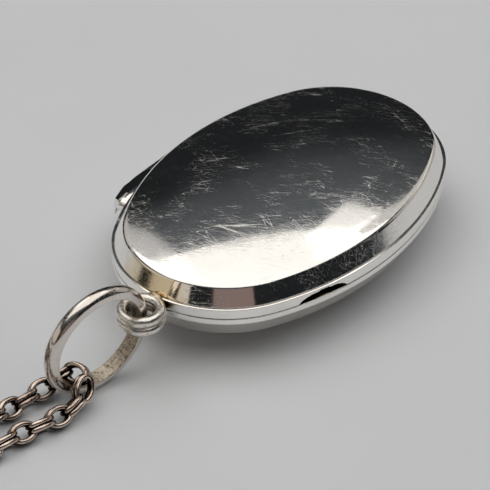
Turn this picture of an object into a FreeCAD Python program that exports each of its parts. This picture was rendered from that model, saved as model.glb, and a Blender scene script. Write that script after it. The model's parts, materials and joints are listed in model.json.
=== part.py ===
import FreeCAD, Part
import math
import os

from FreeCAD import Matrix, Placement, Rotation, Vector

# Oval locket lying on its front lid, with its bail ring, neck chain and bolt-ring clasp.
# Millimetres. +Z is up, +Y is the tip opposite the bail, -X is the hinge side.
# The origin is the middle of the oval, on the surface that the lid rests on.

# Driving dimensions: the oval and the stack of the two halves
LENGTH = 32.0
WIDTH = 21.4
END_RADIUS = 9.0
PARTING_HEIGHT = 4.4
PARTING_GAP = 0.05
SHELL_THICKNESS = 0.45
WALL_SETBACK = 0.20
WALL_LEAN = 0.75
BACK_RIM_THICKNESS = 0.83
BACK_CREASE_DEPTH = 2.38
BACK_DEPTH = 3.88
FRONT_RIM_THICKNESS = 0.5
FRONT_CREASE_DEPTH = 2.1
DOME_SCALES = (1.0, 0.93, 0.80, 0.60, 0.35, 0.12)
INNER_OVERRUN = 1.0

# Picture seats inside each half
SEAT_OUTER = 1.50
SEAT_WALL = 0.25
SEAT_LEDGE = 0.15
LEDGE_WIDTH = 0.65
CARD_THICKNESS = 0.20
WINDOW_THICKNESS = 0.12
FRAME_THICKNESS = 0.30
FRAME_WIDTH = 0.95
PIECE_CLEARANCE = 0.03
BACK_STACK_DEPTH = 0.08
FRONT_STACK_DEPTH = 0.62

# Snap lip that stands out of the back half into the front half
LIP_CLEARANCE = 0.05
LIP_THICKNESS = 0.23
LIP_HEIGHT = 0.5

# Thumbnail notch in the back rim
NOTCH_Y = -7.2
NOTCH_RADIUS = 4.0
NOTCH_DEPTH = 0.8
NOTCH_HEIGHT = 0.65

# Side hinge, filed to a face that runs this far outside the rim and parallel to it
HINGE_X = -10.9
HINGE_START = -8.2
HINGE_LENGTH = 12.4
HINGE_PROUD = 1.0
KNUCKLE_RADIUS = 0.68
KNUCKLE_BORE = 0.36
KNUCKLE_COUNT = 5
FIRST_KNUCKLE_LENGTH = 5.0
KNUCKLE_GAP = 0.06
PIN_RADIUS = 0.31
PIN_SETBACK = 4.0
HINGE_CLEARANCE = 0.1
LUG_REACH = 1.9

# Soldered loop at the tip, two turns of wire high
LOOP_CENTRE = Vector(0.35, -18.05, 4.85)
LOOP_WIRE_RADIUS = 0.44
LOOP_RADIUS = 1.49
LOOP_TURN_PITCH = 0.80
SOLDER_CENTRE = Vector(0.25, -15.95, 5.2)
SOLDER_RADIUS = 1.15

# Bail ring: D-shaped band, flat inside
RING_CENTRE = Vector(-0.42, -22.46, 4.80)
RING_AXIS = Vector(0.973, -0.208, -0.098)
RING_INNER_RADIUS = 3.936
RING_THICKNESS = 0.86
RING_WIDTH = 1.268
RING_EDGE = 0.25

# Neck chain, as a plain cord along its route
CHAIN_DIAMETER = 1.8
ARC_SHARE = 0.45
CHAIN_ROUTE = (
    (-3.45, -52.1, 1.35),
    (-2.9, -48.0, 0.95),
    (-2.65, -43.8, 0.9),
    (-2.1, -39.6, 0.9),
    (-1.35, -35.6, 0.9),
    (-0.55, -31.9, 0.9),
    (0.3, -29.2, 0.9),
    (0.75, -27.0, 0.9),
    (1.15, -25.1, 1.3),
    (0.85, -23.4, 3.1),
    (-2.0, -22.9, 3.3),
    (-3.05, -24.5, 1.6),
    (-3.35, -26.7, 0.9),
    (-3.45, -29.5, 0.9),
    (-4.0, -33.2, 0.9),
    (-5.55, -38.0, 0.9),
)
TAIL_ROUTE = (
    (-5.55, -38.0, 2.7),
    (-5.45, -40.4, 2.7),
    (-5.6, -42.7, 2.3),
    (-6.0, -44.7, 1.6),
    (-6.45, -46.4, 1.3),
    (-6.7, -47.85, 1.45),
)
COIL_CENTRE = Vector(-18.1, -38.0, 0.0)
COIL_INNER = 6.25
COIL_OUTER = 13.45
COIL_LAYERS = 2

# Bolt-ring clasp, its eye, its link and the ring at the chain's other end
CLASP_CENTRE = Vector(-7.5, -54.5, 1.50)
CLASP_RADIUS = 2.6
CLASP_TUBE = 0.65
CLASP_BORE = 0.42
BOLT_RADIUS = 0.37
BOLT_START = 195.0
BOLT_END = 275.0
GAP_START = 200.0
GAP_END = 250.0
SOCKET_DEPTH = 10.0
BORE_OVERRUN = 5.0
KNOB_ANGLE = 268.0
KNOB_RADIUS = 0.22
KNOB_REACH = 1.2
KNOB_CLEARANCE = 0.07
BOLT_TRAVEL = 48.0
CHANNEL_END = 352.0
SPRING_START = 277.0
SPRING_END = 350.0
SPRING_OUTER = 0.34
SPRING_INNER = 0.22
EYE_ANGLE = 83.0
EYE_RADIUS = 0.85
EYE_WIRE = 0.28
LINK_RADIUS = 1.1
LINK_WIRE = 0.30
LINK_CLEARANCE = 0.08
END_RING_ANGLE = 41.0
END_RING_RADIUS = 1.40
END_RING_WIRE = 0.35
END_RING_OFFSET = 0.25

UP = Vector(0, 0, 1)
SIDE_RADIUS = ((LENGTH / 2) ** 2 + (WIDTH / 2) ** 2 - LENGTH * END_RADIUS) / (WIDTH - 2 * END_RADIUS)


def oval(offset, height, scale=1.0):
    """Closed wire of four arcs: the rim's outline moved inwards by offset, then scaled about its middle."""
    end_centre = LENGTH / 2 - END_RADIUS
    side_centre = SIDE_RADIUS - WIDTH / 2
    reach = math.hypot(end_centre, side_centre)
    end_radius = END_RADIUS - offset
    joint_x = end_radius * side_centre / reach * scale
    joint_y = (end_centre + end_radius * end_centre / reach) * scale
    tip = (LENGTH / 2 - offset) * scale
    flank = (WIDTH / 2 - offset) * scale
    corners = [(joint_x, -joint_y), (joint_x, joint_y), (-joint_x, joint_y), (-joint_x, -joint_y)]
    middles = [(flank, 0), (0, tip), (-flank, 0), (0, -tip)]
    edges = []
    for index in range(4):
        start = Vector(*corners[index], height)
        middle = Vector(*middles[index], height)
        end = Vector(*corners[(index + 1) % 4], height)
        edges.append(Part.Arc(start, middle, end).toShape())
    return Part.Wire(edges)


def oval_plate(offset, bottom, top):
    return Part.Face(oval(offset, bottom)).extrude(UP * (top - bottom))


def oval_ring(outer_offset, inner_offset, bottom, top):
    return oval_plate(outer_offset, bottom, top).cut(oval_plate(inner_offset, bottom, top))


def dome(offset, bottom, rise):
    """Low crowned cap on an oval foot, ending in a small flat."""
    lowest = DOME_SCALES[-1] ** 2
    sections = []
    for scale in DOME_SCALES:
        height = bottom + rise * (1 - scale ** 2) / (1 - lowest)
        sections.append(oval(offset, height, scale))
    return Part.makeLoft(sections, True, False)


def pressed_shell(rim_thickness, crease_depth, depth):
    """Leaning side wall and domed face of one half, in depths from the parting face."""
    foot = WALL_SETBACK
    shoulder = WALL_SETBACK + WALL_LEAN
    outer_wall = Part.makeLoft([oval(foot, rim_thickness), oval(shoulder, crease_depth)], True, True)
    outer = outer_wall.fuse(dome(shoulder, crease_depth, depth - crease_depth))
    inner_crease = crease_depth - SHELL_THICKNESS / 2
    inner_rise = depth - SHELL_THICKNESS - inner_crease
    below = rim_thickness - INNER_OVERRUN
    inner_foot = oval(foot + SHELL_THICKNESS, below)
    inner_shoulder = oval(shoulder + SHELL_THICKNESS, inner_crease)
    inner_wall = Part.makeLoft([inner_foot, inner_shoulder], True, True)
    inner = inner_wall.fuse(dome(shoulder + SHELL_THICKNESS, inner_crease, inner_rise))
    return outer.cut(inner)


def rim(thickness, stack_depth):
    """Flange with the seat that holds a picture: seat wall and ledge, in depths from the parting face."""
    ledge_top = stack_depth + CARD_THICKNESS + WINDOW_THICKNESS + FRAME_THICKNESS
    seat_inner = SEAT_OUTER + SEAT_WALL
    flange = oval_ring(0, seat_inner, 0, thickness)
    wall = oval_ring(SEAT_OUTER, seat_inner, 0, ledge_top + SEAT_LEDGE)
    ledge = oval_ring(SEAT_OUTER, seat_inner + LEDGE_WIDTH, ledge_top, ledge_top + SEAT_LEDGE)
    return flange.fuse([wall, ledge]).removeSplitter()


def picture_stack(stack_depth, offset):
    """Retaining frame, clear window and picture card of one half, in depths from the parting face."""
    window_depth = stack_depth + FRAME_THICKNESS
    card_depth = window_depth + WINDOW_THICKNESS
    frame = oval_ring(offset, offset + FRAME_WIDTH, stack_depth, window_depth)
    window = oval_plate(offset, window_depth, card_depth)
    card = oval_plate(offset, card_depth, card_depth + CARD_THICKNESS)
    return {"photo_frame": frame, "window": window, "photo_card": card}


def half(name, rim_thickness, crease_depth, depth, stack_depth, stack_offset):
    pieces = {
        name + "_shell": pressed_shell(rim_thickness, crease_depth, depth),
        name + "_rim": rim(rim_thickness, stack_depth),
    }
    for kind, shape in picture_stack(stack_depth, stack_offset).items():
        pieces[name + "_" + kind] = shape
    return pieces


def stand(shape, upward):
    """Puts a piece given in depths from the parting face into place, above or below the parting plane."""
    if upward:
        placed = shape.copy()
        placed.translate(UP * (PARTING_HEIGHT + PARTING_GAP / 2))
        return placed
    placed = shape.mirror(Vector(0, 0, 0), UP)
    placed.translate(UP * (PARTING_HEIGHT - PARTING_GAP / 2))
    return placed


def thumb_notch():
    """Flattened ball that scoops the notch out of the lower edge of the back rim."""
    side_centre = Vector(-(SIDE_RADIUS - WIDTH / 2), 0, 0)
    edge = Vector(math.sqrt(SIDE_RADIUS ** 2 - NOTCH_Y ** 2) + side_centre.x, NOTCH_Y, 0)
    outward = (edge - side_centre).normalize()
    reach = NOTCH_RADIUS - NOTCH_DEPTH
    flattening = Matrix()
    flattening.scale(1, 1, NOTCH_HEIGHT / math.sqrt(NOTCH_RADIUS ** 2 - reach ** 2))
    ball = Part.makeSphere(NOTCH_RADIUS).transformGeometry(flattening)
    ball.translate(edge + outward * reach + UP * PARTING_HEIGHT)
    return ball


def hinge_rod(radius, start, length):
    return Part.makeCylinder(radius, length, Vector(HINGE_X, start, PARTING_HEIGHT), Vector(0, 1, 0))


def knuckle_length(index):
    """The first knuckle is long, and the others share what is left."""
    if index == 0:
        return FIRST_KNUCKLE_LENGTH
    others = KNUCKLE_COUNT - 1
    return (HINGE_LENGTH - FIRST_KNUCKLE_LENGTH) / others - KNUCKLE_GAP


def knuckle_start(index):
    if index == 0:
        return HINGE_START
    step = knuckle_length(index) + KNUCKLE_GAP
    return HINGE_START + FIRST_KNUCKLE_LENGTH + KNUCKLE_GAP + (index - 1) * step


def filed(shape):
    """Hinge piece with its outer side filed off parallel to the rim."""
    reach = 2 * KNUCKLE_RADIUS
    return shape.common(oval_plate(-HINGE_PROUD, PARTING_HEIGHT - reach, PARTING_HEIGHT + reach))


def pin_rod(radius):
    """Rod along the hinge that ends inside the first knuckle, whose outer part is solid."""
    return hinge_rod(radius, HINGE_START + PIN_SETBACK, HINGE_LENGTH - PIN_SETBACK)


def knuckle(index):
    barrel = hinge_rod(KNUCKLE_RADIUS, knuckle_start(index), knuckle_length(index))
    return filed(barrel).cut(pin_rod(KNUCKLE_BORE))


def lug(index, upward):
    """Bracket that carries one knuckle on the edge of its rim."""
    thickness = BACK_RIM_THICKNESS if upward else FRONT_RIM_THICKNESS
    block = Part.makeBox(LUG_REACH, knuckle_length(index), thickness)
    block.translate(Vector(HINGE_X, knuckle_start(index), 0))
    block = stand(block, upward)
    return filed(block.cut(hinge_rod(KNUCKLE_RADIUS, knuckle_start(index), knuckle_length(index))))


def hinge_room():
    start = HINGE_START - HINGE_CLEARANCE
    return hinge_rod(KNUCKLE_RADIUS + HINGE_CLEARANCE, start, HINGE_LENGTH + 2 * HINGE_CLEARANCE)


def hinged_rim(plain, upward):
    """Rim cut clear of the hinge barrel, with the lugs of its own knuckles."""
    first = 0 if upward else 1
    lugs = [lug(index, upward) for index in range(first, KNUCKLE_COUNT, 2)]
    return plain.cut(hinge_room()).fuse(lugs).removeSplitter()


def bail_loop():
    turns = []
    for side in (-0.5, 0.5):
        centre = LOOP_CENTRE + UP * (side * LOOP_TURN_PITCH)
        turns.append(Part.makeTorus(LOOP_RADIUS, LOOP_WIRE_RADIUS, centre, UP))
    return turns[0].fuse(turns[1])


def largest_solid(shape):
    return max(shape.Solids, key=lambda solid: solid.Volume)


def loop_solder(loop, back_rim, back_shell):
    """Bead of solder between the loop, the flange and the side wall."""
    bead = Part.makeSphere(SOLDER_RADIUS, SOLDER_CENTRE)
    size = 4 * SOLDER_RADIUS
    corner = SOLDER_CENTRE - Vector(size / 2, size / 2, 0)
    corner.z = PARTING_HEIGHT + PARTING_GAP / 2 - size
    below = Part.makeBox(size, size, size, corner)
    hole = Part.makeCylinder(LOOP_RADIUS, size, LOOP_CENTRE - UP * (size / 2), UP)
    inside = oval_plate(WALL_SETBACK, PARTING_HEIGHT, PARTING_HEIGHT + BACK_DEPTH)
    return largest_solid(bead.cut([below, hole, inside, loop, back_rim, back_shell]))


def bail_ring():
    """D-section band turned about the ring's own axis."""
    side = RING_WIDTH / 2
    inner = RING_INNER_RADIUS
    outer = inner + RING_THICKNESS
    shoulder = inner + RING_EDGE
    edges = [
        Part.LineSegment(Vector(shoulder, 0, -side), Vector(inner, 0, -side)).toShape(),
        Part.LineSegment(Vector(inner, 0, -side), Vector(inner, 0, side)).toShape(),
        Part.LineSegment(Vector(inner, 0, side), Vector(shoulder, 0, side)).toShape(),
        Part.Arc(Vector(shoulder, 0, side), Vector(outer, 0, 0), Vector(shoulder, 0, -side)).toShape(),
    ]
    band = Part.Face(Part.Wire(edges)).revolve(Vector(0, 0, 0), UP, 360)
    band.Placement = Placement(RING_CENTRE, Rotation(UP, RING_AXIS))
    return band


def rounded_path(route):
    """Straight runs joined by tangent arcs, each as large as its two runs allow, and the arcs' radii."""
    points = [Vector(*point) for point in route]
    edges = []
    radii = []
    here = points[0]
    for index in range(1, len(points) - 1):
        corner = points[index]
        to_last = points[index - 1] - corner
        to_next = points[index + 1] - corner
        cut = ARC_SHARE * min(to_last.Length, to_next.Length)
        half_turn = (math.pi - to_last.getAngle(to_next)) / 2
        radius = cut / math.tan(half_turn)
        to_last.normalize()
        to_next.normalize()
        bisector = (to_last + to_next).normalize()
        centre = corner + bisector * math.hypot(radius, cut)
        start = corner + to_last * cut
        end = corner + to_next * cut
        edges.append(Part.LineSegment(here, start).toShape())
        edges.append(Part.Arc(start, centre - bisector * radius, end).toShape())
        radii.append(radius)
        here = end
    edges.append(Part.LineSegment(here, points[-1]).toShape())
    return Part.Wire(edges), radii


def cord(name, route):
    path, radii = rounded_path(route)
    start = Vector(*route[0])
    circle = Part.makeCircle(CHAIN_DIAMETER / 2, start, Vector(*route[1]) - start)
    tube = path.makePipeShell([Part.Wire([circle])], True, True)
    expected = math.pi * (CHAIN_DIAMETER / 2) ** 2 * path.Length
    print(name, "length", round(path.Length, 1), "volume share", round(tube.Volume / expected, 3))
    print(name, "arc radii", [round(radius, 2) for radius in radii])
    return tube


def chain_coil():
    height = CHAIN_DIAMETER * COIL_LAYERS
    outer = Part.makeCylinder(COIL_OUTER, height, COIL_CENTRE, UP)
    return outer.cut(Part.makeCylinder(COIL_INNER, height, COIL_CENTRE, UP))


def clasp_point(angle, radius):
    turned = math.radians(angle)
    return CLASP_CENTRE + Vector(math.cos(turned), math.sin(turned), 0) * radius


def clasp_arc(radius, start, end):
    """Round rod bent along the clasp's ring, from one angle to another."""
    section = Part.Face(Part.Wire([Part.makeCircle(radius, Vector(CLASP_RADIUS, 0, 0), Vector(0, 1, 0))]))
    section.rotate(Vector(0, 0, 0), UP, start)
    rod = section.revolve(Vector(0, 0, 0), UP, end - start)
    rod.translate(CLASP_CENTRE)
    return rod


def knob_slot():
    """Room for the knob's travel through the outer wall of the tube."""
    height = 2 * (KNOB_RADIUS + KNOB_CLEARANCE)
    middle = CLASP_CENTRE - UP * (height / 2)
    turned = math.degrees((KNOB_RADIUS + KNOB_CLEARANCE) / CLASP_RADIUS)
    ring = Part.makeCylinder(CLASP_RADIUS + 2 * CLASP_TUBE, height, middle, UP, BOLT_TRAVEL + 2 * turned)
    ring.rotate(CLASP_CENTRE, UP, KNOB_ANGLE - turned)
    return ring.cut(Part.makeCylinder(CLASP_RADIUS, height, middle, UP))


def clasp_body():
    tube = clasp_arc(CLASP_TUBE, GAP_END, GAP_START + 360)
    channel = clasp_arc(CLASP_BORE, GAP_END - BORE_OVERRUN, CHANNEL_END)
    socket = clasp_arc(CLASP_BORE, GAP_START - SOCKET_DEPTH, GAP_START + BORE_OVERRUN)
    return tube.cut([channel, socket, knob_slot()])


def clasp_bolt():
    rod = clasp_arc(BOLT_RADIUS, BOLT_START, BOLT_END)
    outward = clasp_point(KNOB_ANGLE, 1) - CLASP_CENTRE
    knob = Part.makeCylinder(KNOB_RADIUS, KNOB_REACH, clasp_point(KNOB_ANGLE, CLASP_RADIUS), outward)
    return rod.fuse(knob)


def clasp_spring():
    outer = clasp_arc(SPRING_OUTER, SPRING_START, SPRING_END)
    return outer.cut(clasp_arc(SPRING_INNER, SPRING_START - BORE_OVERRUN, SPRING_END + BORE_OVERRUN))


def clasp_eye(body):
    centre = clasp_point(EYE_ANGLE, CLASP_RADIUS + CLASP_TUBE + EYE_RADIUS)
    return Part.makeTorus(EYE_RADIUS, EYE_WIRE, centre, UP).cut(body)


def upright_ring(centre, angle, radius, wire):
    """Jump ring standing in the vertical plane that points away from the clasp at an angle."""
    turned = math.radians(angle)
    across = Vector(-math.sin(turned), math.cos(turned), 0)
    return Part.makeTorus(radius, wire, centre, across)


def clasp_link():
    eye_end = CLASP_RADIUS + CLASP_TUBE + 2 * EYE_RADIUS - EYE_WIRE
    reach = eye_end - LINK_CLEARANCE - LINK_WIRE + LINK_RADIUS
    return upright_ring(clasp_point(EYE_ANGLE, reach), EYE_ANGLE, LINK_RADIUS, LINK_WIRE)


def end_ring():
    centre = clasp_point(END_RING_ANGLE, CLASP_RADIUS + END_RING_OFFSET)
    centre.z = END_RING_RADIUS + END_RING_WIRE
    return upright_ring(centre, END_RING_ANGLE, END_RING_RADIUS, END_RING_WIRE)


def locket_halves():
    lip_outer = SEAT_OUTER + SEAT_WALL + LIP_CLEARANCE
    lip_inner = lip_outer + LIP_THICKNESS
    back = half("back", BACK_RIM_THICKNESS, BACK_CREASE_DEPTH, BACK_DEPTH,
                BACK_STACK_DEPTH, lip_inner + PIECE_CLEARANCE)
    front_depth = PARTING_HEIGHT - PARTING_GAP / 2
    front = half("front", FRONT_RIM_THICKNESS, FRONT_CREASE_DEPTH, front_depth,
                 FRONT_STACK_DEPTH, SEAT_OUTER + SEAT_WALL + PIECE_CLEARANCE)
    lip_foot = BACK_STACK_DEPTH + CARD_THICKNESS + WINDOW_THICKNESS + FRAME_THICKNESS
    back["snap_lip"] = oval_ring(lip_outer, lip_inner, -LIP_HEIGHT, lip_foot)
    pieces = {name: stand(shape, True) for name, shape in back.items()}
    pieces.update({name: stand(shape, False) for name, shape in front.items()})
    pieces["back_rim"] = hinged_rim(pieces["back_rim"].cut(thumb_notch()), True)
    pieces["front_rim"] = hinged_rim(pieces["front_rim"], False)
    pieces["front_shell"] = pieces["front_shell"].cut(hinge_room())
    return pieces


def hinge():
    pieces = {"hinge_knuckle_%d" % (index + 1): knuckle(index) for index in range(KNUCKLE_COUNT)}
    pieces["hinge_pin"] = pin_rod(PIN_RADIUS)
    return pieces


def bail(back_rim, back_shell):
    loop = bail_loop()
    return {
        "bail_loop": loop,
        "loop_solder": loop_solder(loop, back_rim, back_shell),
        "bail_ring": bail_ring(),
    }


def necklace():
    body = clasp_body()
    return {
        "chain_run": cord("chain_run", CHAIN_ROUTE),
        "chain_coil": chain_coil(),
        "chain_tail": cord("chain_tail", TAIL_ROUTE),
        "end_ring": end_ring(),
        "clasp_body": body,
        "clasp_eye": clasp_eye(body),
        "clasp_link": clasp_link(),
        "clasp_bolt": clasp_bolt(),
        "clasp_spring": clasp_spring(),
    }


def main():
    pieces = locket_halves()
    pieces.update(hinge())
    pieces.update(bail(pieces["back_rim"], pieces["back_shell"]))
    pieces["back_rim"] = pieces["back_rim"].cut(pieces["bail_loop"])
    pieces.update(necklace())
    os.makedirs("parts", exist_ok=True)
    for name, shape in pieces.items():
        print(name, len(shape.Solids), "solid", round(shape.Volume, 2), "mm3", shape.isValid())
        shape.exportStep("parts/%s.step" % name)


main()
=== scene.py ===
import bmesh
import bpy
import json
import math
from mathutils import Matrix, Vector, noise


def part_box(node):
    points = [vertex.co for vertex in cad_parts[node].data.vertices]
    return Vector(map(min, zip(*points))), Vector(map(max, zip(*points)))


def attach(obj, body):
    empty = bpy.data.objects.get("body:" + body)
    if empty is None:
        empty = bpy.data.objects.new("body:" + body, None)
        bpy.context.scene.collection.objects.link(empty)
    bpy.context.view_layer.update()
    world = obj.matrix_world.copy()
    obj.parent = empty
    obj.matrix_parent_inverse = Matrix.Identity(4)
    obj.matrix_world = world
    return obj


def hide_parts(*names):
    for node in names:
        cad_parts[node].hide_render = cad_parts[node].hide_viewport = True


# An oval silver locket lying on its lid, its bail ring standing on the table with the chain through it.
# Metres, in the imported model's frame. Azimuths are in degrees, clockwise from +Y as seen from above.

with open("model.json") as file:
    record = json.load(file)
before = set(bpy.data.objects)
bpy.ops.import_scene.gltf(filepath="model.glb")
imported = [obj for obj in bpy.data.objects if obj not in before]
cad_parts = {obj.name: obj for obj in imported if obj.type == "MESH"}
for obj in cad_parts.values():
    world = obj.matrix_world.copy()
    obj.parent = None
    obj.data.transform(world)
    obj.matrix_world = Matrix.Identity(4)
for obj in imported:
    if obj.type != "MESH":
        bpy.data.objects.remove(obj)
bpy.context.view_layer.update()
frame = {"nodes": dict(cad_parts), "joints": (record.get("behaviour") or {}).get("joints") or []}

MM = 0.001
UP = Vector((0, 0, 1))
TURN = 2 * math.pi

# The oval and the two halves, as the CAD part has them
RIM_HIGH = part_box("back_rim")[1]
HALF_WIDTH = RIM_HIGH.x
HALF_LENGTH = RIM_HIGH.y
END_RADIUS = 9.0 * MM
SIDE_RADIUS = HALF_LENGTH ** 2 + HALF_WIDTH ** 2 - 2 * HALF_LENGTH * END_RADIUS
SIDE_RADIUS /= 2 * (HALF_WIDTH - END_RADIUS)
SHELL_THICKNESS = 0.45 * MM
WALL_SETBACK = 0.20 * MM
WALL_LEAN = 0.75 * MM
SEAT_OUTER = 1.50 * MM
SEAT_INNER = 1.75 * MM
LEDGE_INNER = 2.40 * MM
LEDGE_THICKNESS = 0.15 * MM
CREASE_ROUND = 0.16 * MM
RIM_ROUND = 0.07 * MM
NOTCH_Y = -7.2 * MM
NOTCH_RADIUS = 4.0 * MM
NOTCH_DEPTH = 0.8 * MM
NOTCH_HEIGHT = 0.65 * MM
KNUCKLE_RADIUS = 0.68 * MM
KNUCKLE_BORE = 0.36 * MM
HINGE_CLEARANCE = 0.1 * MM
HINGE_PROUD = 1.0 * MM
AXIS_HOLE = 0.02 * MM
LUG_REACH = 1.9 * MM
LUG_EDGE = 0.04 * MM
KNUCKLE_COUNT = 5
FILED_STEP = 0.1

# The picture in each half, and the lip that the lid snaps over
PHOTO_FRAME_WIDTH = 0.95 * MM
PHOTO_FRAME_HEIGHT = 0.30 * MM
WINDOW_THICKNESS = 0.12 * MM
CARD_THICKNESS = 0.20 * MM
STACK_HEIGHT = PHOTO_FRAME_HEIGHT + WINDOW_THICKNESS + CARD_THICKNESS
STACK_CLEARANCE = 0.03 * MM
LIP_CLEARANCE = 0.05 * MM
LIP_THICKNESS = 0.23 * MM
LIP_HEIGHT = 0.5 * MM

# The soldered loop and the bail ring
LOOP_WIRE_RADIUS = 0.44 * MM
SOLDER_SHARE = 0.36
RING_INNER_RADIUS = 3.936 * MM
RING_THICKNESS = 0.86 * MM
RING_WIDTH = 1.268 * MM
RING_EDGE = 0.25 * MM

# The chain's links
CHAIN_DIAMETER = 1.8 * MM
LINK_PITCH = 1.60 * MM
LINK_WIDTH = 1.74 * MM
LINK_WIRE = 0.43 * MM
LINK_TILT = math.radians(45)

# The clasp's spring, from one angle to another round the clasp, in degrees
CLASP_RADIUS = 2.6 * MM
SPRING_START = 278.5
SPRING_END = 348.5
SPRING_TURNS = 16
SPRING_STEPS_PER_TURN = 12
SPRING_OUTER_RADIUS = 0.34 * MM
SPRING_WIRE_RADIUS = 0.055 * MM

# Points round a thin wire
WIRE_SIDES = 8

# The chain's route, from the end ring through the bail ring to the coil, and from the coil to the clasp
CHAIN_ROUTE = (
    (-0.00345, -0.0521, 0.00135),
    (-0.0029, -0.0480, 0.00095),
    (-0.00265, -0.0438, 0.0009),
    (-0.0021, -0.0396, 0.0009),
    (-0.0016, -0.0356, 0.0009),
    (-0.0012, -0.0319, 0.0009),
    (-0.00035, -0.0292, 0.0009),
    (0.0002, -0.0274, 0.0009),
    (0.00025, -0.0256, 0.0009),
    (0.00000, -0.0241, 0.00215),
    (-0.0019, -0.0239, 0.00215),
    (-0.0028, -0.0252, 0.0010),
    (-0.0032, -0.0272, 0.0009),
    (-0.0035, -0.0299, 0.0009),
    (-0.0040, -0.0335, 0.0009),
)
TAIL_ROUTE = (
    (-0.00545, -0.0404, 0.0027),
    (-0.0056, -0.0427, 0.0023),
    (-0.0060, -0.0447, 0.0016),
    (-0.00645, -0.0464, 0.0013),
    (-0.0067, -0.04785, 0.00145),
)
COIL_TURNS = 3
COIL_POINTS_PER_TURN = 16

CAMERA_AZIMUTH = 142.29
CAMERA_ELEVATION = 36.67
CAMERA_DISTANCE = 280 * MM
CAMERA_TARGET = Vector((-0.333, -4.256, 3.0)) * MM
CAMERA_LENS = 261.35
SENSOR_WIDTH = 36


# ---------------------------------------------------------------- camera

def aim(obj, position, target):
    obj.location = position
    obj.rotation_euler = (target - position).to_track_quat("-Z", "Y").to_euler()


def direction(azimuth, elevation):
    a = math.radians(azimuth)
    e = math.radians(elevation)
    return Vector((math.sin(a) * math.cos(e), math.cos(a) * math.cos(e), math.sin(e)))


def make_camera():
    back = direction(CAMERA_AZIMUTH, CAMERA_ELEVATION)
    data = bpy.data.cameras.new("camera")
    data.lens = CAMERA_LENS
    data.sensor_width = SENSOR_WIDTH
    data.clip_start = 10 * MM
    camera = bpy.data.objects.new("camera", data)
    bpy.context.scene.collection.objects.link(camera)
    aim(camera, CAMERA_TARGET + back * CAMERA_DISTANCE, CAMERA_TARGET)
    bpy.context.scene.camera = camera


# ---------------------------------------------------------------- mesh building

def skin(loops, closed=False, capped=True):
    """Vertices and faces through loops of equally many points: a tube, or a ring where closed."""
    count = len(loops[0])
    verts = [tuple(point) for ring in loops for point in ring]
    faces = []
    for row in range(len(loops) if closed else len(loops) - 1):
        low = row * count
        high = (row + 1) % len(loops) * count
        for index in range(count):
            after = (index + 1) % count
            faces.append((low + index, low + after, high + after, high + index))
    if capped and not closed:
        for start in (0, (len(loops) - 1) * count):
            middle = sum((Vector(verts[start + index]) for index in range(count)), Vector()) / count
            verts.append(tuple(middle))
            centre = len(verts) - 1
            faces += [(start + index, start + (index + 1) % count, centre) for index in range(count)]
    return verts, faces


def make_piece(name, parts, material, body, nodes=()):
    """One smooth object from parts of vertices and faces, riding on a body."""
    build = bmesh.new()
    for verts, faces in parts:
        made = [build.verts.new(co) for co in verts]
        for face in faces:
            build.faces.new([made[index] for index in face])
    bmesh.ops.recalc_face_normals(build, faces=build.faces)
    mesh = bpy.data.meshes.new(name)
    build.to_mesh(mesh)
    build.free()
    mesh.polygons.foreach_set("use_smooth", [True] * len(mesh.polygons))
    mesh.materials.append(material)
    piece = bpy.data.objects.new(name, mesh)
    bpy.context.scene.collection.objects.link(piece)
    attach(piece, body)
    if nodes:
        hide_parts(*nodes)
    return piece


def fillet(corners, radius, steps=4):
    """A closed section with every corner rounded, as points."""
    points = []
    for index, corner in enumerate(corners):
        here = Vector(corner)
        for_last = Vector(corners[index - 1]) - here
        for_next = Vector(corners[(index + 1) % len(corners)]) - here
        cut = min(radius, for_last.length * 0.45, for_next.length * 0.45)
        start = here + for_last.normalized() * cut
        end = here + for_next.normalized() * cut
        for step in range(steps + 1):
            share = step / steps
            points.append(start * (1 - share) ** 2 + here * 2 * share * (1 - share) + end * share ** 2)
    return points


def divide(points, longest):
    """The closed section again, with no span longer than this."""
    divided = []
    for index, point in enumerate(points):
        span = points[(index + 1) % len(points)] - point
        count = max(1, math.ceil(span.length / longest))
        divided += [point + span * (step / count) for step in range(count)]
    return divided


def frame_across(axis):
    """Two directions at right angles to the axis and to each other."""
    side = axis.cross(UP if abs(axis.z) < 0.9 else Vector((1, 0, 0))).normalized()
    return side, axis.cross(side).normalized()


def circle(centre, axis, radius, count):
    side, other = frame_across(axis)
    angles = [TURN * index / count for index in range(count)]
    return [centre + side * (radius * math.cos(a)) + other * (radius * math.sin(a)) for a in angles]


def lathe(section, centre, axis, count):
    """A closed section of (radius, height) points turned about an axis."""
    loops = [circle(centre + axis * height, axis, radius, count) for radius, height in section]
    return skin(loops, closed=True)


# ---------------------------------------------------------------- oval

OVAL_COUNT = 480
END_CENTRE = HALF_LENGTH - END_RADIUS
SIDE_CENTRE = SIDE_RADIUS - HALF_WIDTH
JOINT_ANGLE = math.atan2(END_CENTRE, SIDE_CENTRE)


def oval_normals():
    """Outward angles of points spaced evenly along the rim."""
    side_arc = SIDE_RADIUS * 2 * JOINT_ANGLE
    end_arc = END_RADIUS * (math.pi - 2 * JOINT_ANGLE)
    angles = []
    for index in range(OVAL_COUNT):
        along = index / OVAL_COUNT * 2 * (side_arc + end_arc)
        angle = -JOINT_ANGLE
        for arc, radius in ((side_arc, SIDE_RADIUS), (end_arc, END_RADIUS)) * 2:
            step = min(along, arc)
            angle += step / radius
            along -= step
        angles.append(angle)
    return angles


OVAL_ANGLES = oval_normals()


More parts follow.
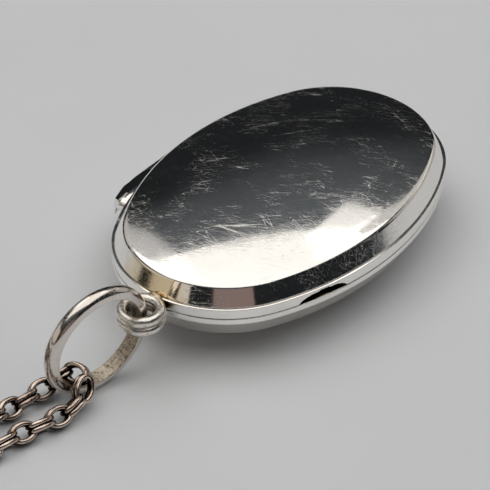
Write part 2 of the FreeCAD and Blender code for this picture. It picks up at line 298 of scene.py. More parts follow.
def oval(offset, height, scale=1.0):
    """The rim's outline moved inwards by offset, then scaled about its middle."""
    points = []
    for angle in OVAL_ANGLES:
        outward = Vector((math.cos(angle), math.sin(angle), 0))
        on_side = abs(math.sin(angle)) < math.sin(JOINT_ANGLE)
        if on_side:
            centre = Vector((-math.copysign(SIDE_CENTRE, outward.x), 0, 0))
            point = centre + outward * (SIDE_RADIUS - offset)
        else:
            centre = Vector((0, math.copysign(END_CENTRE, outward.y), 0))
            point = centre + outward * (END_RADIUS - offset)
        points.append(point * scale + UP * height)
    return points


def oval_ring(section):
    """A closed section of (offset, height) points carried round the rim."""
    return skin([oval(offset, height) for offset, height in section], closed=True)


def between(low, middle, high, steps):
    """Loops that turn smoothly from low to high, rounding the corner at middle."""
    loops = []
    for step in range(steps + 1):
        share = step / steps
        weights = ((1 - share) ** 2, 2 * share * (1 - share), share ** 2)
        trios = zip(low, middle, high)
        loops.append([a * weights[0] + b * weights[1] + c * weights[2] for a, b, c in trios])
    return loops


class Half:
    """One half of the locket: depths from its parting face, given in millimetres and kept in metres."""

    def __init__(self, name, sign, crease_depth, stack_depth):
        self.name = name
        self.sign = sign
        self.crease_depth = crease_depth * MM
        self.stack_depth = stack_depth * MM
        low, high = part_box(name + "_shell")
        rim_low, rim_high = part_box(name + "_rim")
        self.parting = rim_low.z if sign > 0 else rim_high.z
        self.rim_depth = abs((low.z if sign > 0 else high.z) - self.parting)
        self.depth = abs((high.z if sign > 0 else low.z) - self.parting)

    def at(self, depth):
        return self.parting + self.sign * depth


BACK = Half("back", 1, 2.38, 0.08)
FRONT = Half("front", -1, 2.1, 0.62)


# ---------------------------------------------------------------- shells, rims and picture seats

def shell_side(half, inset, crease_depth, depth, foot_depth):
    """Loops of one face of a shell, from its foot over the crease to the middle of the dome."""
    shoulder = WALL_SETBACK + WALL_LEAN + inset
    rise = depth - crease_depth
    crease = oval(shoulder, half.at(crease_depth))
    lean = WALL_LEAN / (half.crease_depth - half.rim_depth)
    loops = []
    wall_steps = 14
    for step in range(wall_steps):
        depth_here = foot_depth + (crease_depth - CREASE_ROUND - foot_depth) * step / wall_steps
        loops.append(oval(shoulder - lean * (crease_depth - depth_here), half.at(depth_here)))
    under = oval(shoulder - lean * CREASE_ROUND, half.at(crease_depth - CREASE_ROUND))
    first = 1 - 2.0 * CREASE_ROUND / HALF_WIDTH
    over = oval(shoulder, half.at(crease_depth + rise * (1 - first ** 2)), first)
    loops += between(under, crease, over, 6)
    dome_steps = 56
    for step in range(1, dome_steps):
        scale = first * (1 - step / dome_steps)
        loops.append(oval(shoulder, half.at(crease_depth + rise * (1 - scale ** 2)), scale))
    return loops


def make_shell(half, material):
    outer = shell_side(half, 0, half.crease_depth, half.depth, half.rim_depth)
    inner_crease = half.crease_depth - SHELL_THICKNESS / 2
    inner = shell_side(half, SHELL_THICKNESS, inner_crease, half.depth - SHELL_THICKNESS, half.rim_depth)
    name = half.name + "_shell"
    verts, faces = skin(inner[::-1] + outer)
    verts = [clear_of_hinge(co) for co in verts]
    make_piece(name + "_pressed", [(verts, faces)], material, half.name + "_half", [name])


HINGE_LOW, HINGE_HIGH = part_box("hinge_pin")
HINGE_AXIS = (HINGE_LOW + HINGE_HIGH) / 2
BARREL_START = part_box("hinge_knuckle_1")[0].y
BARREL_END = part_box("hinge_knuckle_5")[1].y


def clear_of_hinge(co):
    """Moves a point out of the room that the hinge barrel needs."""
    room = KNUCKLE_RADIUS + HINGE_CLEARANCE
    from_axis = Vector((co[0] - HINGE_AXIS.x, 0, co[2] - HINGE_AXIS.z))
    in_length = BARREL_START - HINGE_CLEARANCE < co[1] < BARREL_END + HINGE_CLEARANCE
    if not in_length or from_axis.length >= room:
        return co
    moved = from_axis.normalized() * room
    return (HINGE_AXIS.x + moved.x, co[1], HINGE_AXIS.z + moved.z)


def filed(mesh):
    """Hinge mesh filed off outside, parallel to the rim, and a little lower the nearer to its axis."""
    centre = Vector((SIDE_CENTRE, 0))
    verts = []
    for x, y, z in mesh[0]:
        depth = max(0, KNUCKLE_RADIUS - math.hypot(x - HINGE_AXIS.x, z - HINGE_AXIS.z))
        limit = SIDE_RADIUS + HINGE_PROUD - FILED_STEP * depth
        out = Vector((x, y)) - centre
        if out.length > limit:
            x, y = centre + out.normalized() * limit
        verts.append((x, y, z))
    return verts, mesh[1]


def notched(co):
    """Lifts the back rim's underside out of the scooped thumbnail notch."""
    slope = math.asin(NOTCH_Y / SIDE_RADIUS)
    outward = Vector((math.cos(slope), math.sin(slope), 0))
    centre = outward * (SIDE_RADIUS + NOTCH_RADIUS - NOTCH_DEPTH) - Vector((SIDE_CENTRE, 0, 0))
    reach = math.hypot(co[0] - centre.x, co[1] - centre.y)
    if reach >= NOTCH_RADIUS:
        return co
    edge_rise = math.sqrt(NOTCH_RADIUS ** 2 - (NOTCH_RADIUS - NOTCH_DEPTH) ** 2)
    squash = NOTCH_HEIGHT / edge_rise
    roof = BACK.parting + squash * math.sqrt(NOTCH_RADIUS ** 2 - reach ** 2)
    return (co[0], co[1], max(co[2], roof))


def lug(half, node):
    """Strap that carries one knuckle: the rim's thickness, hollowed to the barrel."""
    low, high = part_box(node)
    centre = HINGE_AXIS
    top = half.at(half.rim_depth)
    inner = centre.x + LUG_REACH
    corners = [(inner, half.parting), (inner, top), (centre.x, top)]
    steps = 8
    for step in range(steps + 1):
        angle = math.pi / 2 * (1 - step / steps)
        x = centre.x + KNUCKLE_RADIUS * math.cos(angle)
        z = centre.z + half.sign * KNUCKLE_RADIUS * math.sin(angle)
        corners.append((x, half.at(max(0, (z - half.parting) * half.sign))))
    middle = sum((Vector(corner) for corner in corners), Vector((0, 0))) / len(corners)
    end_share = 0.94
    spans = 8
    length = high.y - low.y - 2 * LUG_EDGE
    stations = [(low.y, end_share)]
    stations += [(low.y + LUG_EDGE + length * step / spans, 1.0) for step in range(spans + 1)]
    stations.append((high.y, end_share))
    loops = []
    for y, shrink in stations:
        placed = [middle + (Vector(corner) - middle) * shrink for corner in corners]
        loops.append([Vector((point.x, y, point.y)) for point in placed])
    return filed(skin(loops))


def make_rim(half, material, knuckles):
    """Flange, seat wall and ledge as one ring, with the lugs of its own knuckles."""
    seat = half.stack_depth + STACK_HEIGHT
    ledge_top = seat + LEDGE_THICKNESS
    corners = [(0, 0), (0, half.rim_depth), (SEAT_OUTER, half.rim_depth), (SEAT_OUTER, ledge_top)]
    corners += [(LEDGE_INNER, ledge_top), (LEDGE_INNER, seat), (SEAT_INNER, seat), (SEAT_INNER, 0)]
    section = divide(fillet(corners, RIM_ROUND), 2 * RIM_ROUND)
    verts, faces = oval_ring([(offset, half.at(depth)) for offset, depth in section])
    verts = [clear_of_hinge(co) for co in verts]
    if half is BACK:
        verts = [notched(co) for co in verts]
    name = half.name + "_rim"
    parts = [(verts, faces)] + [lug(half, node) for node in knuckles]
    make_piece(name + "_flange", parts, material, half.name + "_half", [name])


def make_band(node, body, material, outer, inner, low_depth, high_depth, half, rounding):
    """Oval band between two offsets from the rim's outline and two depths."""
    corners = [(outer, low_depth), (outer, high_depth), (inner, high_depth), (inner, low_depth)]
    section = divide(fillet(corners, rounding, 3), 0.25 * MM)
    ring = oval_ring([(offset, half.at(depth)) for offset, depth in section])
    return make_piece(node + "_band", [ring], material, body, [node])


def make_plate(node, body, material, offset, low_depth, high_depth, half):
    """Thin oval sheet with softened edges."""
    edge = 0.02 * MM
    loops = [oval(offset, half.at(low_depth), scale) for scale in (0.02, 0.4, 0.8)]
    loops += [oval(offset + edge, half.at(low_depth)), oval(offset, half.at(low_depth + edge))]
    loops += [oval(offset, half.at(high_depth - edge)), oval(offset + edge, half.at(high_depth))]
    loops += [oval(offset, half.at(high_depth), scale) for scale in (0.8, 0.4, 0.02)]
    return make_piece(node + "_sheet", [skin(loops)], material, body, [node])


def make_picture(half, offset, looks):
    """Retaining frame, clear window and blank card, each behind the one before."""
    body = half.name + "_half"
    top = half.stack_depth
    window = top + PHOTO_FRAME_HEIGHT
    card = window + WINDOW_THICKNESS
    bottom = card + CARD_THICKNESS
    make_band(half.name + "_photo_frame", body, looks["frame"],
              offset, offset + PHOTO_FRAME_WIDTH, top, window, half, 0.08 * MM)
    make_plate(half.name + "_window", body, looks["window"], offset, window, card, half)
    make_plate(half.name + "_photo_card", body, looks["card"], offset, card, bottom, half)


# ---------------------------------------------------------------- hinge

def make_knuckle(node, body, material):
    """Tube on the hinge, whose bore goes no deeper than the pin does."""
    low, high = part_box(node)
    length = high.y - low.y
    bottom = max(0, HINGE_LOW.y - low.y)
    if bottom:
        corners = [(AXIS_HOLE, bottom), (KNUCKLE_BORE, bottom), (KNUCKLE_BORE, length)]
        corners += [(KNUCKLE_RADIUS, length), (KNUCKLE_RADIUS, 0), (AXIS_HOLE, 0)]
    else:
        corners = [(KNUCKLE_BORE, 0), (KNUCKLE_BORE, length), (KNUCKLE_RADIUS, length), (KNUCKLE_RADIUS, 0)]
    section = divide(fillet(corners, 0.06 * MM, 3), 0.3 * MM)
    centre = Vector((HINGE_AXIS.x, low.y, HINGE_AXIS.z))
    barrel = filed(lathe(section, centre, Vector((0, 1, 0)), 72))
    make_piece(node + "_barrel", [barrel], material, body, [node])


def make_pin(material):
    radius = (HINGE_HIGH.z - HINGE_LOW.z) / 2
    along = Vector((0, 1, 0))
    rounded = [(0.0, 0.75), (0.05 * MM, 0.94), (0.12 * MM, 1.0)]
    spans = 24
    length = HINGE_HIGH.y - HINGE_LOW.y
    places = rounded + [(length * step / spans, 1.0) for step in range(1, spans)]
    places += [(length - y, share) for y, share in rounded[::-1]]
    start = Vector((HINGE_AXIS.x, HINGE_LOW.y, HINGE_AXIS.z))
    loops = [circle(start + along * y, along, radius * share, 40) for y, share in places]
    make_piece("hinge_pin_rod", [filed(skin(loops))], material, "back_half", ["hinge_pin"])


# ---------------------------------------------------------------- bail

def joint(name):
    return next(j for j in frame["joints"] if j["name"] == name)


def make_loop(material):
    """Two turns of round wire, stacked and soldered into one loop."""
    low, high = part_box("bail_loop")
    centre = (low + high) / 2
    radius = (high.x - low.x) / 2 - LOOP_WIRE_RADIUS
    lift = (high.z - low.z) / 2 - LOOP_WIRE_RADIUS
    section = loop_section(radius, LOOP_WIRE_RADIUS, lift)
    make_piece("bail_loop_wire", [lathe(section, centre, UP, 128)], material, "back_half",
               ["bail_loop"])


def loop_section(radius, wire, lift):
    """Outline of two wires, one on the other, that overlap a little."""
    meet = math.acos(lift / wire)
    sweep = TURN - 2 * meet
    steps = 24
    section = []
    for side in (1, -1):
        start = -math.pi / 2 + meet if side > 0 else math.pi / 2 + meet
        for step in range(steps):
            angle = start + sweep * step / steps
            section.append((radius + wire * math.cos(angle), side * lift + wire * math.sin(angle)))
    return section


def make_solder(material):
    """Lumpy bead between the loop, the flange and the side wall."""
    low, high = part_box("loop_solder")
    centre = (low + high) / 2
    half_size = (high - low) * SOLDER_SHARE
    centre.z = low.z + half_size.z
    loops = []
    rows = 24
    columns = 40
    for row in range(1, rows):
        ring = []
        for column in range(columns):
            way = direction(90 - 360 * column / columns, 90 - 180 * row / rows)
            swell = 0.92 + 0.08 * noise.noise(way * 2.3)
            ring.append(centre + way * half_size * swell)
        loops.append(ring)
    make_piece("loop_solder_bead", [skin(loops)], material, "back_half", ["loop_solder"])


RING_JOINT = joint("ring_turn")


def make_ring(material):
    """D-section band: flat inside, crowned outside, with softened edges."""
    axis = Vector(RING_JOINT["axis"]).normalized()
    centre = Vector(RING_JOINT["pos_m"])
    inner = RING_INNER_RADIUS
    side = RING_WIDTH / 2
    shoulder = inner + RING_EDGE
    crown = []
    steps = 18
    corner_steps = 4
    sagitta = RING_THICKNESS - RING_EDGE
    crown_radius = (side ** 2 + sagitta ** 2) / (2 * sagitta)
    reach = math.asin(side / crown_radius)
    for step in range(steps + 1):
        angle = reach * (1 - 2 * step / steps)
        rise = sagitta - crown_radius * (1 - math.cos(angle))
        crown.append(Vector((shoulder + rise, crown_radius * math.sin(angle))))
    corners = [(inner, -side), (inner, side), (shoulder, side), (shoulder, -side)]
    inner_corners = fillet(corners, RIM_ROUND, corner_steps)[:2 * (corner_steps + 1)]
    section = divide(inner_corners + crown, 0.12 * MM)
    make_piece("bail_ring_band", [lathe(section, centre, axis, 288)], material, "bail_ring",
               ["bail_ring"])


# ---------------------------------------------------------------- chain

def coil_points():
    """Centre line of the put-away turns: in along the table, then out again on top."""
    low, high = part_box("chain_coil")
    centre = (low + high) / 2
    outer = (high.x - low.x) / 2 - CHAIN_DIAMETER / 2
    inner = outer - COIL_TURNS * CHAIN_DIAMETER
    count = COIL_TURNS * COIL_POINTS_PER_TURN
    points = []
    for layer in (0, 1):
        start, end = (outer, inner) if layer == 0 else (inner, outer)
        for step in range(count + 1):
            share = step / count
            angle = -TURN * COIL_TURNS * share
            radius = start + (end - start) * share
            height = low.z + CHAIN_DIAMETER * (0.5 + layer)
            x = centre.x + radius * math.cos(angle)
            y = centre.y + radius * math.sin(angle)
            points.append((x, y, height))
    return points


def smooth_line(route):
    """Points along the NURBS spline that has the route as its control points."""
    data = bpy.data.curves.new("chain_line", "CURVE")
    data.dimensions = "3D"
    spline = data.splines.new("NURBS")
    spline.points.add(len(route) - 1)
    for point, co in zip(spline.points, route):
        point.co = (*co, 1)
    spline.order_u = 3
    spline.use_endpoint_u = True
    spline.resolution_u = 16
    holder = bpy.data.objects.new("chain_line", data)
    mesh = bpy.data.meshes.new_from_object(holder)
    line = [vertex.co.copy() for vertex in mesh.vertices]
    bpy.data.objects.remove(holder)
    bpy.data.meshes.remove(mesh)
    return line


def spaced(line, pitch):
    """Places a pitch apart along the line, each with the direction there."""
    lengths = [0.0]
    for here, after in zip(line, line[1:]):
        lengths.append(lengths[-1] + (after - here).length)
    count = round(lengths[-1] / pitch)
    places = []
    index = 0
    for step in range(count):
        target = (step + 0.5) * lengths[-1] / count
        while lengths[index + 1] < target:
            index += 1
        share = (target - lengths[index]) / (lengths[index + 1] - lengths[index])
        here, after = line[index], line[index + 1]
        places.append((here.lerp(after, share), (after - here).normalized()))
    return places


def link(centre, along, tilt):
    """Double link: two long wire ovals side by side, turned about the chain."""
    lift = (UP - along * along.z).normalized()
    across = along.cross(lift)
    wide = across * math.cos(tilt) + lift * math.sin(tilt)
    deep = along.cross(wide)
    half_long = (LINK_PITCH + LINK_WIRE) / 2
    half_wide = (LINK_WIDTH - LINK_WIRE) / 2
    parts = []
    count = 20
    for side in (-0.5, 0.5):
        middle = centre + deep * (side * LINK_WIRE)
        loops = []
        for step in range(count):
            angle = TURN * step / count
            spine = middle + along * (half_long * math.cos(angle)) + wide * (half_wide * math.sin(angle))
            out = (along * (half_wide * math.cos(angle)) + wide * (half_long * math.sin(angle))).normalized()
            ring = []
            for turn in range(WIRE_SIDES):
                roll = TURN * turn / WIRE_SIDES
                ring.append(spine + (out * math.cos(roll) + deep * math.sin(roll)) * (LINK_WIRE / 2))
            loops.append(ring)
        parts.append(skin(loops, closed=True))
    return parts


def make_chain(material):
    line = smooth_line(list(CHAIN_ROUTE) + coil_points() + list(TAIL_ROUTE))
    parts = []
    for index, (centre, along) in enumerate(spaced(line, LINK_PITCH)):
        parts += link(centre, along, -LINK_TILT if index % 2 else LINK_TILT)
    chain = make_piece("neck_chain", parts, material, "necklace",
                       ["chain_run", "chain_coil", "chain_tail"])


def make_spring(material):
    """Small coil bent along the inside of the clasp's tube."""
    centre = Vector(joint("clasp_trigger")["pos_m"])
    wire = SPRING_WIRE_RADIUS
    reach = SPRING_OUTER_RADIUS - wire
    steps = SPRING_TURNS * SPRING_STEPS_PER_TURN
    angles = [TURN * index / WIRE_SIDES for index in range(WIRE_SIDES)]
    loops = []
    for step in range(steps + 1):
        place = math.radians(SPRING_START + (SPRING_END - SPRING_START) * step / steps)
        roll = TURN * step / SPRING_STEPS_PER_TURN
        out = Vector((math.cos(place), math.sin(place), 0))
        along = Vector((-out.y, out.x, 0))
        spoke = out * math.cos(roll) + UP * math.sin(roll)
        point = centre + out * CLASP_RADIUS + spoke * reach
        loops.append([point + (spoke * math.cos(a) + along * math.sin(a)) * wire for a in angles])
    make_piece("clasp_spring_coil", [skin(loops)], material, "necklace", ["clasp_spring"])


# ---------------------------------------------------------------- materials

class Look:
    """A principled material with short calls for the nodes that feed it."""

    def __init__(self, name, colour, metallic=1.0, roughness=0.2):
        self.material = bpy.data.materials.new(name)
        self.material.use_nodes = True
        self.tree = self.material.node_tree
        self.shader = self.tree.nodes["Principled BSDF"]
        self.set(**{"Base Color": (*colour, 1), "Metallic": metallic, "Roughness": roughness})
        place = self.node("ShaderNodeTexCoord").outputs["Object"]
        scaled = self.node("ShaderNodeVectorMath", {"Vector": place, "Scale": 1 / MM}, operation="SCALE")
        self.mm = scaled.outputs[0]

    def node(self, kind, values=None, **settings):
        made = self.tree.nodes.new(kind)
        for key, value in settings.items():
            setattr(made, key, value)
        for key, value in (values or {}).items():
            self.feed(made.inputs[key], value)
        return made

    def feed(self, socket, value):
        if isinstance(value, bpy.types.NodeSocket):
            self.tree.links.new(value, socket)
        else:
            socket.default_value = value

    def set(self, **values):
        for key, value in values.items():
            self.feed(self.shader.inputs[key], value)

    def noise(self, scale, detail=2.0, vector=None, roughness=0.5, distortion=0.0):
        values = {"Vector": vector or self.mm, "Scale": scale, "Detail": detail, "Roughness": roughness,
                  "Distortion": distortion}
        return self.node("ShaderNodeTexNoise", values).outputs["Fac"]

    def range(self, value, low, high, to_low=0.0, to_high=1.0):
        values = {"Value": value, "From Min": low, "From Max": high, "To Min": to_low, "To Max": to_high}
        return self.node("ShaderNodeMapRange", values, interpolation_type="SMOOTHSTEP").outputs["Result"]

    def math(self, operation, first, second=0.0):
        made = self.node("ShaderNodeMath", operation=operation)
        self.feed(made.inputs[0], first)
        self.feed(made.inputs[1], second)
        return made.outputs[0]

    def distance(self, place):
        """Millimetres from a place in the object."""
        values = {0: self.mm, 1: place}
        return self.node("ShaderNodeVectorMath", values, operation="DISTANCE").outputs["Value"]

    def mix(self, share, first, second):
        made = self.node("ShaderNodeMix", data_type="RGBA")
        self.feed(made.inputs["Factor"], share)
        self.feed(made.inputs["A"], first if not isinstance(first, tuple) else (*first, 1))
        self.feed(made.inputs["B"], second if not isinstance(second, tuple) else (*second, 1))
        return made.outputs["Result"]

    def turned(self, angle, length, width, shift=0.0):
        """Millimetre coordinates turned about Z and stretched, for marks of that length and width."""
        values = {"Vector": self.mm, "Location": (shift, shift, 0), "Rotation": (0, 0, math.radians(angle)),
                  "Scale": (length, width, width)}
        return self.node("ShaderNodeMapping", values, vector_type="TEXTURE").outputs[0]

    def lines(self, angle, length, width, thin, shift=0.0, wander=1.0):
        """Thin wandering lines, 1 on the line and 0 off it."""
        field = self.noise(1.0, wander, self.turned(angle, length, width, shift))
        return self.range(self.math("ABSOLUTE", self.math("SUBTRACT", field, 0.5)), 0.0, thin, 1.0, 0.0)

    def sum(self, *values):
        total = values[0]
        for value in values[1:]:
            total = self.math("ADD", total, value)
        return total

    def bump(self, height, distance):
        values = {"Height": height, "Strength": 1.0, "Distance": distance}
        self.set(Normal=self.node("ShaderNodeBump", values).outputs["Normal"])

    def colour_now(self):
        return self.shader.inputs["Base Color"].links[0].from_socket

    def shade_and_tarnish(self, reach, open_share, colour, strength=1.0):
        """Darkens the corners that ambient occlusion finds: painted shade there, with tarnish that polishing
        does not reach.
        """
        # Ambient occlusion drives the darkening: painted shade in corners and creases, mixed with tarnish
        shut = self.node("ShaderNodeAmbientOcclusion", {"Distance": reach * MM}, samples=8).outputs["AO"]
        uneven = self.math("MULTIPLY", self.noise(2.5, 3.0), 0.2)
        low = open_share - 0.18
        shade_and_tarnish_share = self.range(self.math("SUBTRACT", shut, uneven), low - 0.1, open_share - 0.1, strength, 0.0)
        self.set(**{"Base Color": self.mix(shade_and_tarnish_share, self.colour_now(), colour)})


def scratched(look, grain, hairs):
    """Handling marks: a fine all-over grain of short strokes, and long hair scratches."""
    fine = look.sum(look.lines(33, 1.6, 0.13, 0.06), look.lines(12, 1.3, 0.12, 0.05, 7),
                    look.lines(58, 1.1, 0.12, 0.05, 13))
    hair_marks = ((40, 15.0, 0.45, 0.016, 3), (29, 18.0, 0.55, 0.013, 21), (52, 12.0, 0.60, 0.012, 43),
                  (12, 13.0, 0.70, 0.011, 57), (-24, 8.0, 0.80, 0.008, 31))
    long_marks = look.sum(*[look.lines(*mark, wander=0.0) for mark in hair_marks])
    patches = look.range(look.noise(0.30, 3.0), 0.30, 0.70, 0.62, 1.0)
    broken = look.range(look.noise(0.35, 3.0), 0.40, 0.62, 0.25, 0.9)
    fine_height = look.math("MULTIPLY", fine, look.math("MULTIPLY", patches, grain))
    return fine_height, look.math("MULTIPLY", long_marks, look.math("MULTIPLY", broken, hairs))


# Brown-black for the corners that ambient occlusion finds: painted shade, with tarnish
SHADE_AND_TARNISH_COLOUR = (0.10, 0.060, 0.035)


def polished_silver(name, grain=0.5, hairs=0.8, roughness=0.015, colour=(0.93, 0.91, 0.88)):
    look = Look(name, colour)
    fine, hair = scratched(look, grain, hairs)
    cloud = look.range(look.noise(0.25, 3.0), 0.35, 0.7)
    look.set(**{"Base Color": look.mix(cloud, colour, tuple(part * 0.93 for part in colour))})
    rough = look.sum(look.range(look.noise(1.4, 3.0), 0.3, 0.7, roughness, roughness + 0.02),
                     look.math("MULTIPLY", fine, 0.14), look.math("MULTIPLY", hair, 0.34))
    look.set(Roughness=rough)
    look.bump(look.sum(fine, hair), 3.0e-7)
    return look


def rim_silver(name):
    look = polished_silver(name, grain=0.25)
    # Painted shade, with tarnish, darkens the notch, the parting line and the rim's other corners
    look.shade_and_tarnish(0.7, 0.62, SHADE_AND_TARNISH_COLOUR)
    return look


def shell_silver(name, heat_centre):
    """Polished silver with the brownish-gold heat stain that soldering leaves round the loop."""
    look = polished_silver(name, grain=0.55)
    base = look.colour_now()
    offset = look.distance(heat_centre)
    near = look.range(look.sum(offset, look.math("MULTIPLY", look.noise(1.2, 3.0), 3.0)), 3.0, 5.6, 1.0, 0.0)
    height = look.node("ShaderNodeSeparateXYZ", {"Vector": look.mm}).outputs["Z"]
    near = look.math("MULTIPLY", near, look.range(height, 6.5, 6.8, 1.0, 0.0))
    look.set(**{"Base Color": look.mix(near, base, (0.80, 0.68, 0.50))})
    # Painted shade, with tarnish, darkens the crease between the loop and the side wall and the shell's
    # other corners
    look.shade_and_tarnish(0.5, 0.55, SHADE_AND_TARNISH_COLOUR)
    return look


def worn_silver(name, colour=(0.84, 0.80, 0.74), stain=(0.38, 0.31, 0.25)):
    look = Look(name, colour)
    fine, hair = scratched(look, 0.5, 1.0)
    specks = look.range(look.noise(3.2, 4.0, roughness=0.7), 0.56, 0.72)
    look.set(**{"Base Color": look.mix(specks, colour, stain)})
    look.set(Roughness=look.sum(look.range(look.noise(0.8, 3.0), 0.35, 0.65, 0.14, 0.30),
                                look.math("MULTIPLY", specks, 0.25)))
    look.bump(look.sum(fine, hair, look.math("MULTIPLY", specks, -1.0)), 4.0e-6)
    # Painted shade, with tarnish, darkens the loop between its turns and where it meets the shell
    look.shade_and_tarnish(1.0, 0.72, SHADE_AND_TARNISH_COLOUR)
    return look


def ring_silver(name):
    """Smooth silver, lightly tarnished, whose flat inner face has stayed dull and speckled."""
    look = polished_silver(name, grain=0.2, roughness=0.12, colour=(0.78, 0.72, 0.67))
    centre = Vector(RING_JOINT["pos_m"]) / MM
    face_reach = 3.99
    inside = look.range(look.distance(centre), face_reach, face_reach + 0.09, 1.0, 0.0)
    base = look.colour_now()
    rough = look.shader.inputs["Roughness"].links[0].from_socket
    specks = look.range(look.noise(4.5, 4.0, roughness=0.75), 0.46, 0.64)
    dull = look.mix(specks, (0.57, 0.50, 0.41), (0.18, 0.14, 0.10))
    look.set(**{"Base Color": look.mix(inside, base, dull)})
    look.set(Roughness=look.sum(rough, look.math("MULTIPLY", inside, 0.35)))
    return look


def oxidised_silver(name):
    """Chain silver, bright where it rubs and brown-black in its crevices, where painted shade and tarnish
    are laid.
    """
    look = Look(name, (0.80, 0.68, 0.60))
    tint = look.range(look.noise(0.9, 3.0), 0.35, 0.65)
    look.set(**{"Base Color": look.mix(tint, (0.80, 0.67, 0.58), (0.52, 0.41, 0.35))})
    # Near-black painted shade, with tarnish, in the crevices between the links
    look.shade_and_tarnish(1.2, 0.86, (0.035, 0.021, 0.015))
    look.set(Roughness=look.range(look.noise(1.5, 3.0), 0.3, 0.7, 0.08, 0.20))
    look.bump(look.noise(6.0, 4.0), 5.0e-6)
    return look


def solder(name):
    look = Look(name, (0.85, 0.72, 0.52))
    pits = look.noise(5.0, 4.0, roughness=0.65)
    look.set(**{"Base Color": look.mix(look.range(pits, 0.4, 0.65), (0.88, 0.76, 0.56), (0.42, 0.31, 0.2))})
    look.set(Roughness=look.range(look.noise(2.0, 2.0), 0.3, 0.7, 0.18, 0.42))
    look.bump(pits, 2.0e-5)
    return look


def pin_steel(name):
    look = Look(name, (0.55, 0.55, 0.56))
    drawn = look.lines(90, 14.0, 0.2, 0.12)
    look.set(Roughness=look.range(look.noise(2.0, 2.0), 0.3, 0.7, 0.22, 0.4))
    look.bump(drawn, 3.0e-6)
    return look


def clear_sheet(name):
    look = Look(name, (1.0, 1.0, 1.0), metallic=0.0, roughness=0.04)
    look.set(**{"Transmission Weight": 1.0, "IOR": 1.49})
    marks = look.sum(look.lines(20, 6.0, 0.9, 0.012), look.lines(-50, 5.0, 0.8, 0.012, 9))
    look.bump(marks, 2.0e-6)
    return look


def card_paper(name):
    look = Look(name, (0.86, 0.83, 0.76), metallic=0.0, roughness=0.85)
    fibres = look.sum(look.lines(15, 1.6, 0.15, 0.05), look.lines(-70, 1.4, 0.14, 0.05, 5))
    foxing = look.range(look.noise(0.5, 4.0, roughness=0.6), 0.55, 0.75)
    look.set(**{"Base Color": look.mix(foxing, (0.88, 0.85, 0.78), (0.74, 0.65, 0.50))})
    look.bump(fibres, 6.0e-6)
    return look


def floor_card(name):
    look = Look(name, (0.8, 0.8, 0.8), metallic=0.0, roughness=0.7)
    tone = look.range(look.noise(0.05, 3.0), 0.3, 0.7)
    look.set(**{"Base Color": look.mix(tone, (0.880, 0.905, 0.945), (0.862, 0.885, 0.920))})
    look.set(**{"Specular IOR Level": 0.2})
    return look


# ---------------------------------------------------------------- stage and light

def soft_light(name, position, target, width, height, radiance, colour):
    """Rectangular soft box of even brightness, unseen by the camera itself."""
    data = bpy.data.lights.new(name, "AREA")
    data.shape = "RECTANGLE"
    data.size = width
    data.size_y = height
    data.energy = radiance * math.pi * width * height
    data.color = colour
    light = bpy.data.objects.new(name, data)
    bpy.context.scene.collection.objects.link(light)
    aim(light, position, target)
    light.visible_camera = False
    return light


def make_overhead():
    """Wide soft box one metre up, whose far edge stands at a set elevation."""
    azimuth = -27
    ceiling = 1.0
    near = -0.55
    far = ceiling / math.tan(math.radians(53.4))
    middle = direction(azimuth, 0) * (near + far) / 2 + UP * ceiling
    overhead = soft_light("overhead", middle, middle - UP, 1.8, far - near, 1.05, (1.0, 0.965, 0.91))
    overhead.rotation_euler = (0, 0, math.radians(-azimuth))


def make_cards():
    """Soft boxes one metre away, each aimed at the origin."""
    origin = Vector((0, 0, 0))
    cards = (
        ("left_wall", -75, 44, 0.48, 0.85, 0.42, (1.0, 0.96, 0.93)),
        ("right_wall", 6, 42, 0.34, 0.60, 0.46, (1.0, 0.95, 0.90)),
        ("right_glow", -12.5, 51, 0.12, 0.15, 0.85, (1.0, 0.97, 0.92)),
        ("front_left", -142, 17, 1.60, 0.46, 0.55, (1.0, 0.93, 0.80)),
        ("front_pink", 136, 15, 0.68, 0.40, 0.20, (1.0, 0.70, 0.63)),
        ("front_right", 18, 17, 0.85, 0.46, 0.42, (1.0, 0.95, 0.88)),
        ("window_streak", 55, 15, 0.10, 0.40, 0.12, (0.9, 0.95, 1.0)),
    )
    for name, azimuth, elevation, width, height, radiance, colour in cards:
        soft_light(name, direction(azimuth, elevation), origin, width, height, radiance, colour)


def make_world():
    """Dim room that grows a little lighter upwards."""
    world = bpy.data.worlds.new("world")
    world.use_nodes = True
    tree = world.node_tree
    backdrop = tree.nodes["Background"]
    backdrop.inputs["Color"].default_value = (0.84, 0.92, 1.0, 1)
    place = tree.nodes.new("ShaderNodeTexCoord")
    height = tree.nodes.new("ShaderNodeSeparateXYZ")
    fade = tree.nodes.new("ShaderNodeMapRange")
    fade.interpolation_type = "SMOOTHSTEP"
    for socket, value in (("From Min", 0.40), ("From Max", 0.85), ("To Min", 0.015), ("To Max", 0.120)):
        fade.inputs[socket].default_value = value
    tree.links.new(place.outputs["Generated"], height.inputs["Vector"])
    tree.links.new(height.outputs["Z"], fade.inputs["Value"])
    tree.links.new(fade.outputs["Result"], backdrop.inputs["Strength"])
    bpy.context.scene.world = world


def make_floor():
    side = 1.5
    verts = [(-side, -side, 0), (side, -side, 0), (side, side, 0), (-side, side, 0)]
    mesh = bpy.data.meshes.new("floor")
    mesh.from_pydata(verts, [], [(0, 1, 2, 3)])
    mesh.materials.append(floor_card("floor_card").material)
    floor = bpy.data.objects.new("floor", mesh)
    bpy.context.scene.collection.objects.link(floor)


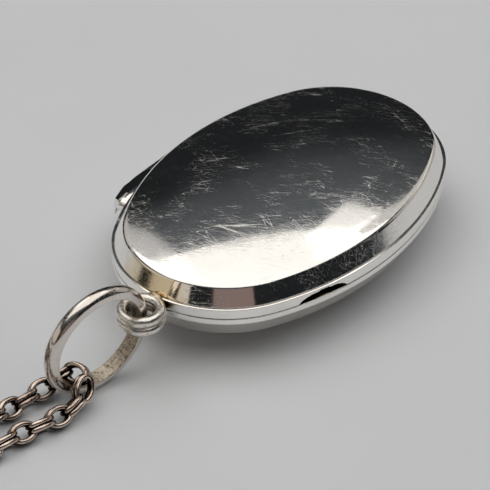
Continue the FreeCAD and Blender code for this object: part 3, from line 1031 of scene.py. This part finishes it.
# ---------------------------------------------------------------- assembly

def wear(node, look):
    """Gives a CAD node that stays in view its material."""
    piece = frame["nodes"][node]
    piece.data.materials.clear()
    piece.data.materials.append(look.material)
    for polygon in piece.data.polygons:
        polygon.use_smooth = True


def main():
    make_camera()
    chain_look = oxidised_silver("oxidised_silver")
    make_chain(chain_look.material)
    shell_look = shell_silver("shell_silver", (-0.8, -15.6, 5.9))
    rim_look = rim_silver("rim_silver")
    worn_look = worn_silver("worn_silver")
    pin_look = pin_steel("pin_steel")
    make_shell(BACK, shell_look.material)
    # The lid's silver is a darker copy of the shell's: painted shade for the underside, which faces its own
    # shadow on the floor
    lid_look_with_painted_shade = polished_silver("lid_silver_painted_shade", grain=0.6, roughness=0.05, colour=(0.70, 0.67, 0.63))
    make_shell(FRONT, lid_look_with_painted_shade.material)
    make_rim(BACK, rim_look.material, ["hinge_knuckle_1", "hinge_knuckle_3", "hinge_knuckle_5"])
    make_rim(FRONT, rim_look.material, ["hinge_knuckle_2", "hinge_knuckle_4"])
    for number in range(1, KNUCKLE_COUNT + 1):
        body = "back_half" if number % 2 else "front_half"
        make_knuckle("hinge_knuckle_%d" % number, body, rim_look.material)
    make_pin(pin_look.material)
    pictures = {
        "frame": polished_silver("frame_silver", grain=0.3).material,
        "window": clear_sheet("window_sheet").material,
        "card": card_paper("picture_card").material,
    }
    lip_outer = SEAT_INNER + LIP_CLEARANCE
    lip_inner = lip_outer + LIP_THICKNESS
    make_band("snap_lip", "back_half", rim_look.material, lip_outer, lip_inner,
              -LIP_HEIGHT, BACK.stack_depth + STACK_HEIGHT, BACK, 0.05 * MM)
    make_picture(BACK, lip_inner + STACK_CLEARANCE, pictures)
    make_picture(FRONT, SEAT_INNER + STACK_CLEARANCE, pictures)
    make_loop(worn_look.material)
    make_solder(solder("solder").material)
    make_ring(ring_silver("ring_silver").material)
    for node in ("end_ring", "clasp_body", "clasp_eye", "clasp_link", "clasp_bolt"):
        wear(node, chain_look)
    make_spring(pin_look.material)
    make_floor()
    make_world()
    make_overhead()
    make_cards()
    bpy.context.scene.view_settings.view_transform = "Standard"


main()
